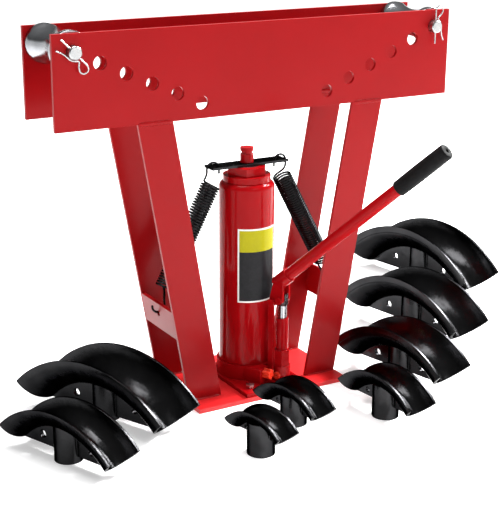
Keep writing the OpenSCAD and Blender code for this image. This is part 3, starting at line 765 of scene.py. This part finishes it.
@dataclass
class WeldedFrame:
    """The plates, legs, base and cross bars, with their welds. Sizes in metres."""

    half_depth: float = 0.060
    steel: float = 0.006
    leg_half: float = 0.029
    leg_top_x: float = 0.1906
    leg_foot_x: float = 0.1098
    leg_top_z: float = 0.466
    base_z: float = 0.007
    bar_low: float = 0.115
    bar_h: float = 0.048
    bar_t: float = 0.006
    bead_w: float = 0.0075
    bead_h: float = 0.0022
    bar_bead_w: float = 0.006
    bar_bead_h: float = 0.002
    bead_gap: float = 0.002
    edge: float = 0.0007

    def lean(self) -> float:
        """Gives the legs' lean from upright, in radians."""
        return math.atan2(self.leg_top_x - self.leg_foot_x, self.leg_top_z - self.base_z)

    def leg_middle(self, z: float) -> float:
        """Gives the distance of a leg's middle line from the bender's middle, at height z."""
        share = (z - self.base_z) / (self.leg_top_z - self.base_z)
        return self.leg_foot_x + (self.leg_top_x - self.leg_foot_x) * share

    def dress(self, shop: PaintShop) -> None:
        """Paints the frame's plates, legs and bars.

        Args:
            shop: The finishes.
        """
        legs = ("front_left_leg", "front_right_leg", "rear_left_leg", "rear_right_leg")
        dress(("front_plate", "rear_plate"), shop.frame_red, self.edge, holed=True)
        dress(legs, shop.frame_red, self.edge)
        dress(("left_cross_bar", "right_cross_bar"), shop.frame_red, self.edge)
        # The base plate gets the lighter red, which holds painted light from above.
        dress(("base_plate",), shop.base_plate_lit_red, self.edge)

    def leg_welds(self, skin: Skin, side: Side, depth: int) -> None:
        """Adds the welds of one leg, under its plate and at its foot.

        Args:
            skin: The skin that takes the welds.
            side: The half of the frame that the leg stands in.
            depth: -1 for a front leg, 1 for a rear leg.
        """
        reach = self.leg_half - self.bead_gap
        seams = ((self.leg_top_x, self.leg_top_z, 0.0), (self.leg_foot_x, self.base_z, 1.0))
        for face in Face:
            y = depth * (self.half_depth - (0.0 if face is Face.OUTER else self.steel))
            out = Vector((0.0, depth * face.value, 0.0))
            for middle, z, rise in seams:
                start = Vector((side.value * (middle - reach), y, z))
                end = Vector((side.value * (middle + reach), y, z))
                WeldBead(start, end, out + Vector((0.0, 0.0, rise)), self.bead_w, self.bead_h).add_to(skin)

    def bar_welds(self, skin: Skin, side: Side) -> None:
        """Adds the welds that hold one cross bar between its legs.

        Args:
            skin: The skin that takes the welds.
            side: The half of the frame that the bar stands in.
        """
        lean = self.lean()
        up = Vector((side.value * math.sin(lean), 0.0, math.cos(lean)))
        out = Vector((side.value * math.cos(lean), 0.0, -math.sin(lean)))
        foot_x = self.leg_middle(self.bar_low) + self.leg_half - self.bar_t / 2 / math.cos(lean)
        foot = Vector((side.value * foot_x, 0.0, self.bar_low))
        for depth in (-1, 1):
            y = depth * (self.half_depth - self.steel)
            corner = foot - out * (self.bar_t / 2) + Vector((0.0, y, 0.0))
            start, end = corner + up * self.bead_gap, corner + up * (self.bar_h - self.bead_gap)
            away = -out - Vector((0.0, float(depth), 0.0))
            WeldBead(start, end, away, self.bar_bead_w, self.bar_bead_h).add_to(skin)

    def build(self, shop: PaintShop) -> None:
        """Makes the welds.

        Args:
            shop: The finishes.
        """
        for name, depth in (("front_leg_welds", -1), ("rear_leg_welds", 1)):
            skin = Skin()
            for side in Side:
                self.leg_welds(skin, side, depth)
            self.place(skin, name, shop)
        skin = Skin()
        for side in Side:
            self.bar_welds(skin, side)
        self.place(skin, "cross_bar_welds", shop)

    def place(self, skin: Skin, name: str, shop: PaintShop) -> None:
        """Puts a skin of welds on the frame.

        Args:
            skin: The welds.
            name: Name of the piece.
            shop: The finishes.
        """
        piece = skin.made(name, [shop.frame_red])
        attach(piece, "frame")
        LOG.info("built %s", name)


@dataclass
class RollerPair:
    """The two rollers, their pins and the clips that hold the pins. Sizes in metres."""

    rollers: tuple[str, str] = ("left_roller", "right_roller")
    pins: tuple[str, str] = ("left_roller_pin", "right_roller_pin")
    clips: tuple[str, str] = ("left_clip", "right_clip")
    roller_edge: float = 0.0008
    pin_edge: float = 0.0004

    def dress(self, shop: PaintShop) -> None:
        """Plates the rollers, pins and clips.

        Args:
            shop: The finishes.
        """
        dress(self.rollers, shop.chrome, self.roller_edge)
        dress(self.pins, shop.zinc, self.pin_edge, holed=True)
        dress(self.clips, shop.zinc)


@dataclass
class BottleJack:
    """The jack with its reservoir, ram and label. Sizes in metres, angles in degrees."""

    tank_r: float = 0.0455
    label_low: float = 0.149
    label_high: float = 0.2735
    label_from: float = -138.0
    label_to: float = -46.0
    film: float = 0.00025
    tuck: float = 0.00002
    border: float = 0.0028
    head_share: float = 0.31
    columns: int = 48
    rows: int = 40
    plate_edge: float = 0.0006
    screw_edge: float = 0.0004

    def dress(self, shop: PaintShop) -> None:
        """Paints the jack's pieces.

        Args:
            shop: The finishes.
        """
        dress(("jack_base", "tank_nut", "gland_nut", "ram_nose", "reservoir_tube"), shop.jack_red)
        dress(("spring_plate",), shop.oxide, self.plate_edge, holed=True)
        dress(("jack_screws",), shop.zinc, self.screw_edge)
        dress(("ram", "piston_head", "inner_cylinder"), shop.ground)
        dress(("reservoir_seals", "ram_wiper", "piston_seal", "filler_plug"), shop.seal)

    def stops(self, low: float, high: float, inner: list[float], count: int) -> list[float]:
        """Divides a span into steps that fall on the edges of the printed fields.

        Args:
            low: Start of the span.
            high: End of the span.
            inner: Edges of the fields within it.
            count: Wanted number of steps.

        Returns:
            The places of the steps, with both ends.
        """
        marks = [low, *inner, high]
        places = [low]
        for a, b in zip(marks, marks[1:]):
            parts = max(1, round(count * (b - a) / (high - low)))
            places.extend(a + (b - a) * k / parts for k in range(1, parts + 1))
        return places

    def build(self, shop: PaintShop) -> None:
        """Makes the film label, bent round the reservoir, with its rim tucked down to the paint.

        Args:
            shop: The finishes.
        """
        turn = math.degrees(self.border / self.tank_r)
        left, right = self.label_from + turn, self.label_to - turn
        low, high = self.label_low + self.border, self.label_high - self.border
        split = self.label_high - self.head_share * (self.label_high - self.label_low)
        angles = self.stops(self.label_from, self.label_to, [left, right], self.columns)
        heights = self.stops(self.label_low, self.label_high, [low, split, high], self.rows)
        wide, tall = len(angles), len(heights)
        skin = Skin()
        for j, z in enumerate(heights):
            for i, angle in enumerate(angles):
                rim = i in (0, wide - 1) or j in (0, tall - 1)
                r = self.tank_r + (self.tuck if rim else self.film)
                a = math.radians(angle)
                skin.points.append(Vector((r * math.cos(a), r * math.sin(a), z)))
        for j in range(tall - 1):
            for i in range(wide - 1):
                here, above = j * wide + i, (j + 1) * wide + i
                skin.faces.append((here, here + 1, above + 1, above))
                z, angle = (heights[j] + heights[j + 1]) / 2, (angles[i] + angles[i + 1]) / 2
                part = LabelField.HEAD if z > split else LabelField.PANEL
                if not (left < angle < right and low < z < high):
                    part = LabelField.BORDER
                skin.fields.append(part.value)
        piece = skin.made("reservoir_label", shop.label)
        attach(piece, "frame")
        LOG.info("built reservoir_label")


@dataclass
class PumpAndHandle:
    """The hand pump, its lever and the handle with its foam grip. Sizes in metres, angles in degrees."""

    turn: float = -62.0
    slope: float = 42.0
    line_r: float = 0.0695
    line_z: float = 0.186
    bar_len: float = 0.368
    bar_r: float = 0.010
    grip_end: float = 0.004
    grip_len: float = 0.102
    grip_r: float = 0.013
    hole_r: float = 0.003
    bar_gap: float = 0.0001
    swell: float = 0.0004
    mouth: float = 0.012
    lip: float = 0.0016
    lip_squash: float = 0.9
    end_round: float = 0.0034
    hole_flare: float = 0.0012
    hole_round: float = 0.0003
    lip_steps: int = 6
    body_steps: int = 20
    end_steps: int = 8
    around: int = 48

    def dress(self, shop: PaintShop) -> None:
        """Paints and plates the pump's pieces.

        Args:
            shop: The finishes.
        """
        dress(("pump_cylinder", "lever_links", "lever", "handle_bar"), shop.jack_red)
        dress(("release_valve", "overload_plug"), shop.valve_red)
        dress(("piston_pin", "piston_pin_ring", "link_pin", "fulcrum_pin", "link_rings"), shop.jack_red)
        dress(("pump_piston", "check_balls"), shop.ground)
        dress(("pump_seal",), shop.seal)

    def line(self) -> tuple[Vector, Vector]:
        """Gives the handle's line.

        Returns:
            Its start, at the socket's floor, and its direction.
        """
        t, s = math.radians(self.turn), math.radians(self.slope)
        flat = Vector((math.cos(t), math.sin(t), 0.0))
        start = flat * self.line_r + Vector((0.0, 0.0, self.line_z))
        return start, flat * math.cos(s) + Vector((0.0, 0.0, math.sin(s)))

    def profile(self) -> list[tuple[float, float]]:
        """Draws the grip's outline from its front lip round to the hole in its end.

        Returns:
            Distances along the handle from the grip's start, each with its radius.
        """
        length, lip, end = self.grip_len, self.lip, self.end_round
        bore, r = self.bar_r + self.bar_gap, self.grip_r - self.swell
        outline = [(self.mouth, bore), (0.0, bore)]
        for k in range(self.lip_steps + 1):
            a = math.pi / 2 * k / self.lip_steps
            outline.append((lip * (1 - math.cos(a)) * self.lip_squash, r - lip * (1 - math.sin(a))))
        for k in range(1, self.body_steps):
            share = k / self.body_steps
            swell = self.swell * math.sin(math.pi * share)
            outline.append((lip + (length - lip - end) * share, r + swell))
        for k in range(self.end_steps + 1):
            a = math.pi / 2 * k / self.end_steps
            outline.append((length - end + end * math.sin(a), r - end * (1 - math.cos(a))))
        outline.append((length, self.hole_r + self.hole_flare))
        outline.append((length - self.hole_round, self.hole_r + self.hole_round))
        outline.append((length - self.hole_flare, self.hole_r))
        outline.append((length - self.grip_end, self.hole_r))
        return outline

    def build(self, shop: PaintShop) -> None:
        """Makes the foam grip.

        Args:
            shop: The finishes.
        """
        start, along = self.line()
        side = unit(along.cross(Vector((0.0, 0.0, 1.0))))
        up = side.cross(along)
        base = start + along * (self.bar_len + self.grip_end - self.grip_len)
        rings = [circle(base + along * s, side, up, r, self.around) for s, r in self.profile()]
        skin = Skin()
        skin.loft(rings, capped=False)
        piece = skin.made("foam_grip", [shop.foam])
        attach(piece, "handle")
        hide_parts("handle_grip")
        LOG.info("built foam_grip")


@dataclass
class ReturnSprings:
    """The two coil springs that pull the ram down, with their hooks. Sizes in metres, angles in degrees."""

    wire_r: float = 0.0018
    coil_r: float = 0.0142
    upper: Triple = (0.066, 0.0, 0.344)
    lower: Triple = (0.150794, 0.0, 0.185561)
    turns: int = 40
    bar_hook: Triple = (0.159794, 0.0, 0.143561)
    lean: float = 9.984
    hook_x: float = 0.051198
    hook_r: float = 0.011
    plate_low: float = 0.370
    plate_high: float = 0.374
    hook_drop: float = 0.005
    leg_drop: float = 0.003
    hook_seat: float = 0.001983
    tip: float = 0.010
    tip_step: float = 0.002
    tip_share: float = 0.72
    foot_start: float = 180.0
    foot_end: float = 380.0
    pull: float = 0.012
    per_turn: int = 28
    tip_points: int = 5
    hook_steps: int = 28
    bend_steps: int = 14
    foot_steps: int = 32
    around: int = 12

    def bridge(self, a: Vector, a_way: Vector, d: Vector, d_way: Vector) -> list[Vector]:
        """Draws a smooth bend from one end of wire to another, without its two ends.

        Args:
            a: Start.
            a_way: Direction at the start.
            d: End.
            d_way: Direction at the end.

        Returns:
            Points along the bend.
        """
        b, c = a + a_way * self.pull, d - d_way * self.pull
        points = []
        for i in range(1, self.bend_steps):
            t = i / self.bend_steps
            near = a * (1 - t) ** 3 + b * (3 * t * (1 - t) ** 2)
            points.append(near + c * (3 * t * t * (1 - t)) + d * t ** 3)
        return points

    def wire(self) -> list[Vector]:
        """Draws the middle line of the right spring, from its upper tip to its lower tip.

        Returns:
            Points along the wire.
        """
        lean = math.radians(self.lean)
        up = Vector((math.sin(lean), 0.0, math.cos(lean)))
        out = Vector((math.cos(lean), 0.0, -math.sin(lean)))
        top, foot = Vector(self.upper), Vector(self.lower)
        way = unit(foot - top)
        across = Vector((-way.z, 0.0, way.x))
        count = self.per_turn * self.turns

        def coil(k: int) -> Vector:
            """Gives a point of the coil."""
            a = math.pi / 2 + 2 * math.pi * k / self.per_turn
            ring = across * math.cos(a) + Vector((0.0, 1.0, 0.0)) * math.sin(a)
            return top + (foot - top) * (k / count) + ring * self.coil_r

        hook = Vector((self.hook_x + self.hook_r, 0.0, self.plate_high - self.hook_drop))
        leg = hook + Vector((self.hook_r, 0.0, -self.leg_drop))
        seat = Vector(self.bar_hook) + up * (self.hook_r + self.hook_seat)
        tip_z = self.plate_low - self.tip
        points = [Vector((self.hook_x, 0.0, tip_z + self.tip_step * k)) for k in range(self.tip_points)]
        for i in range(self.hook_steps, -1, -1):
            a = math.pi * i / self.hook_steps
            points.append(hook + Vector((math.cos(a), 0.0, math.sin(a))) * self.hook_r)
        points.append(leg)
        points.extend(self.bridge(leg, Vector((0.0, 0.0, -1.0)), coil(0), -across))
        points.extend(coil(k) for k in range(count + 1))
        points.extend(self.bridge(coil(count), -across, seat - out * self.hook_r, -up))
        for i in range(self.foot_steps + 1):
            a = math.radians(self.foot_start + (self.foot_end - self.foot_start) * i / self.foot_steps)
            points.append(seat + (out * math.cos(a) + up * math.sin(a)) * self.hook_r)
        return points

    def tube(self, line: list[Vector]) -> Skin:
        """Wraps a round skin about a line of wire, with narrowed tips.

        Args:
            line: Points along the wire.

        Returns:
            The skin.
        """
        last = len(line) - 1
        side = Vector((0.0, 1.0, 0.0))
        rings = []
        for i, point in enumerate(line):
            along = unit(line[min(i + 1, last)] - line[max(i - 1, 0)])
            side = unit(side - along * side.dot(along))
            r = self.wire_r * (self.tip_share if i in (0, last) else 1.0)
            rings.append(circle(point, side, along.cross(side), r, self.around))
        skin = Skin()
        skin.loft(rings)
        return skin

    def build(self, shop: PaintShop) -> None:
        """Makes both springs, which stretch between the frame and the ram.

        Args:
            shop: The finishes.
        """
        line = self.wire()
        for side in Side:
            name, node = f"{side.name.lower()}_coil", f"{side.name.lower()}_spring"
            points = [Vector((side.value * p.x, p.y, p.z)) for p in line]
            piece = self.tube(points).made(name, [shop.oxide])
            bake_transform(piece)
            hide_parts(node)
            LOG.info("built %s for %s", name, node)


@dataclass(frozen=True)
class RimBead:
    """The thin raised line that runs under both rims of a larger die. Sizes in metres, angles in degrees."""

    size: str
    place: tuple[float, float]
    turn: float
    top: float
    rim_r: float
    half_w: float
    drop: float = 0.26
    wire: float = 0.0011
    sunk: float = 0.4
    half_arc: float = 46.3
    steps: int = 64
    around: int = 8

    def add_to(self, skin: Skin) -> None:
        """Adds both lines to a skin.

        Args:
            skin: The skin that takes the lines.
        """
        t = math.radians(self.turn)
        along = Vector((math.cos(t), math.sin(t), 0.0))
        wide = Vector((-math.sin(t), math.cos(t), 0.0))
        heart = Vector((self.place[0], self.place[1], self.top - self.rim_r))
        arc_r = self.rim_r - self.drop * self.half_w
        reach = self.half_w * math.sqrt(1.0 - self.drop * self.drop) - self.sunk * self.wire
        for side in Side:
            rings = []
            for i in range(self.steps + 1):
                a = math.radians(self.half_arc * (2 * i / self.steps - 1))
                ray = along * math.sin(a) + Vector((0.0, 0.0, math.cos(a)))
                middle = heart + ray * arc_r + wide * (side.value * reach)
                rings.append(circle(middle, ray, wide, self.wire, self.around))
            skin.loft(rings)


@dataclass
class DieSet:
    """The eight loose bending dies."""

    sizes: tuple[str, ...] = (
        "half_inch", "three_quarter_inch", "one_inch", "one_and_quarter_inch",
        "one_and_half_inch", "two_inch", "two_and_half_inch", "three_inch")
    beads: tuple[RimBead, ...] = (
        RimBead("one_and_half_inch", (0.224, -0.135), -77.5, 0.098, 0.160, 0.041),
        RimBead("two_inch", (0.374, 0.031), -80.0, 0.115, 0.196, 0.046),
        RimBead("three_inch", (0.583, 0.283), -80.5, 0.118, 0.232, 0.052),
    )

    def dress(self, shop: PaintShop) -> None:
        """Paints the dies.

        Args:
            shop: The finishes.
        """
        dress(("die_" + size for size in self.sizes), shop.casting)

    def build(self, shop: PaintShop) -> None:
        """Makes the raised lines under the rims of the larger dies.

        Args:
            shop: The finishes.
        """
        for bead in self.beads:
            skin = Skin()
            bead.add_to(skin)
            piece = skin.made(bead.size + "_rim_lines", [shop.casting])
            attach(piece, "die_" + bead.size)
            LOG.info("built %s", piece.name)


@dataclass(frozen=True)
class SoftBox:
    """One soft studio light. Sizes in metres, power in watts."""

    name: str
    place: Triple
    aim: Triple
    size: Span
    power: float

    def build(self) -> None:
        """Puts the light in the scene."""
        light = bpy.data.lights.new(self.name, "AREA")
        light.shape = "RECTANGLE"
        light.size, light.size_y = self.size
        light.energy = self.power
        lamp = bpy.data.objects.new(self.name, light)
        lamp.location = self.place
        lamp.rotation_mode = "QUATERNION"
        lamp.rotation_quaternion = (Vector(self.aim) - Vector(self.place)).to_track_quat("-Z", "Y")
        bpy.context.scene.collection.objects.link(lamp)
        LOG.info("lit %s", self.name)


@dataclass
class Studio:
    """Floor, light and camera. Sizes in metres, angles in degrees, focal length and image height in pixels.

    The sky's stops are heights, from the horizon to straight up, each with its brightness.
    """

    eye: Triple = (-1.007, -1.743, 0.843)
    yaw: float = 30.19
    pitch: float = 17.35
    roll: float = 0.35
    focal: float = 1278.0
    image_high: float = 513.0
    sensor: float = 36.0
    sight: float = 200.0
    floor_half: float = 40.0
    floor_drop: float = 0.0002
    paper: Colour = (0.86, 0.86, 0.86)
    tired: Colour = (0.84, 0.84, 0.845)
    sky: tuple[Span, ...] = ((0.0, 1.0), (0.1, 1.0), (0.22, 0.1), (1.0, 0.4))
    glow: Span = (0.42, 0.82)
    glow_reach: Span = (0.9, 4.0)
    boxes: tuple[SoftBox, ...] = (
        SoftBox("over_box", (-0.1, 0.35, 3.0), (0.05, 0.0, 0.1), (2.0, 1.0), 90.0),
        SoftBox("front_box", (0.5, -3.2, 2.5), (0.0, 0.0, 0.3), (2.0, 1.4), 30.0),
        SoftBox("right_strip", (2.5, 0.0, 2.4), (0.1, 0.0, 0.1), (1.8, 0.4), 190.0),
        SoftBox("right_box", (2.3, 0.15, 2.2), (0.1, 0.0, 0.1), (0.55, 0.9), 230.0),
    )

    def build(self) -> None:
        """Makes the floor, the lights and the camera."""
        self.floor()
        for box in self.boxes:
            box.build()
        self.air()
        self.camera()

    def floor(self) -> None:
        """Lays the pale floor just under the part."""
        h = self.floor_half
        skin = Skin()
        skin.points = [Vector((x, y, -self.floor_drop)) for x, y in ((-h, -h), (h, -h), (h, h), (-h, h))]
        skin.faces, skin.fields = [(0, 1, 2, 3)], [0]
        paper = FloorPaper("studio_paper", self.paper, self.tired, self.glow, self.glow_reach)
        skin.made("studio_floor", [paper.material()])

    def air(self) -> None:
        """Fills the room with soft light: a white backdrop, dim walls over it and a paler ceiling."""
        world = bpy.data.worlds.new("studio_air")
        world.use_nodes = True
        tree = world.node_tree
        back = tree.nodes["Background"]
        place = tree.nodes.new("ShaderNodeTexCoord")
        split = tree.nodes.new("ShaderNodeSeparateXYZ")
        fade = tree.nodes.new("ShaderNodeValToRGB")
        ramp = fade.color_ramp
        for height, _ in self.sky[1:-1]:
            ramp.elements.new(height)
        for stop, (height, light) in zip(ramp.elements, self.sky):
            stop.position = height
            stop.color = (light, light, light, 1.0)
        tree.links.new(place.outputs["Generated"], split.inputs["Vector"])
        tree.links.new(split.outputs["Z"], fade.inputs["Fac"])
        tree.links.new(fade.outputs["Color"], back.inputs["Color"])
        bpy.context.scene.world = world
        bpy.context.scene.view_settings.view_transform = "Standard"

    def camera(self) -> None:
        """Stands the camera where the photograph was taken."""
        yaw, pitch, roll = (math.radians(a) for a in (self.yaw, self.pitch, self.roll))
        ahead = Vector((
            math.sin(yaw) * math.cos(pitch), math.cos(yaw) * math.cos(pitch), -math.sin(pitch)))
        level = Vector((math.cos(yaw), -math.sin(yaw), 0.0))
        above = level.cross(ahead)
        right = level * math.cos(roll) + above * math.sin(roll)
        up = above * math.cos(roll) - level * math.sin(roll)
        lens = bpy.data.cameras.new("photo_camera")
        lens.sensor_fit = "AUTO"
        lens.sensor_width = self.sensor
        lens.lens = self.focal * self.sensor / self.image_high
        lens.clip_end = self.sight
        eye = bpy.data.objects.new("photo_camera", lens)
        turn = Matrix((right, up, -ahead)).transposed().to_4x4()
        eye.matrix_world = Matrix.Translation(Vector(self.eye)) @ turn
        bpy.context.scene.collection.objects.link(eye)
        bpy.context.scene.camera = eye


def main() -> None:
    """Builds and dresses the bender, piece by piece, and sets the studio round it."""
    logging.basicConfig(level=logging.INFO, format="%(name)s: %(message)s")
    shop = PaintShop()
    welded, jack, pump, dies = WeldedFrame(), BottleJack(), PumpAndHandle(), DieSet()
    welded.dress(shop)
    welded.build(shop)
    RollerPair().dress(shop)
    jack.dress(shop)
    jack.build(shop)
    pump.dress(shop)
    pump.build(shop)
    ReturnSprings().build(shop)
    dies.dress(shop)
    dies.build(shop)
    Studio().build()


if __name__ == "__main__":
    main()
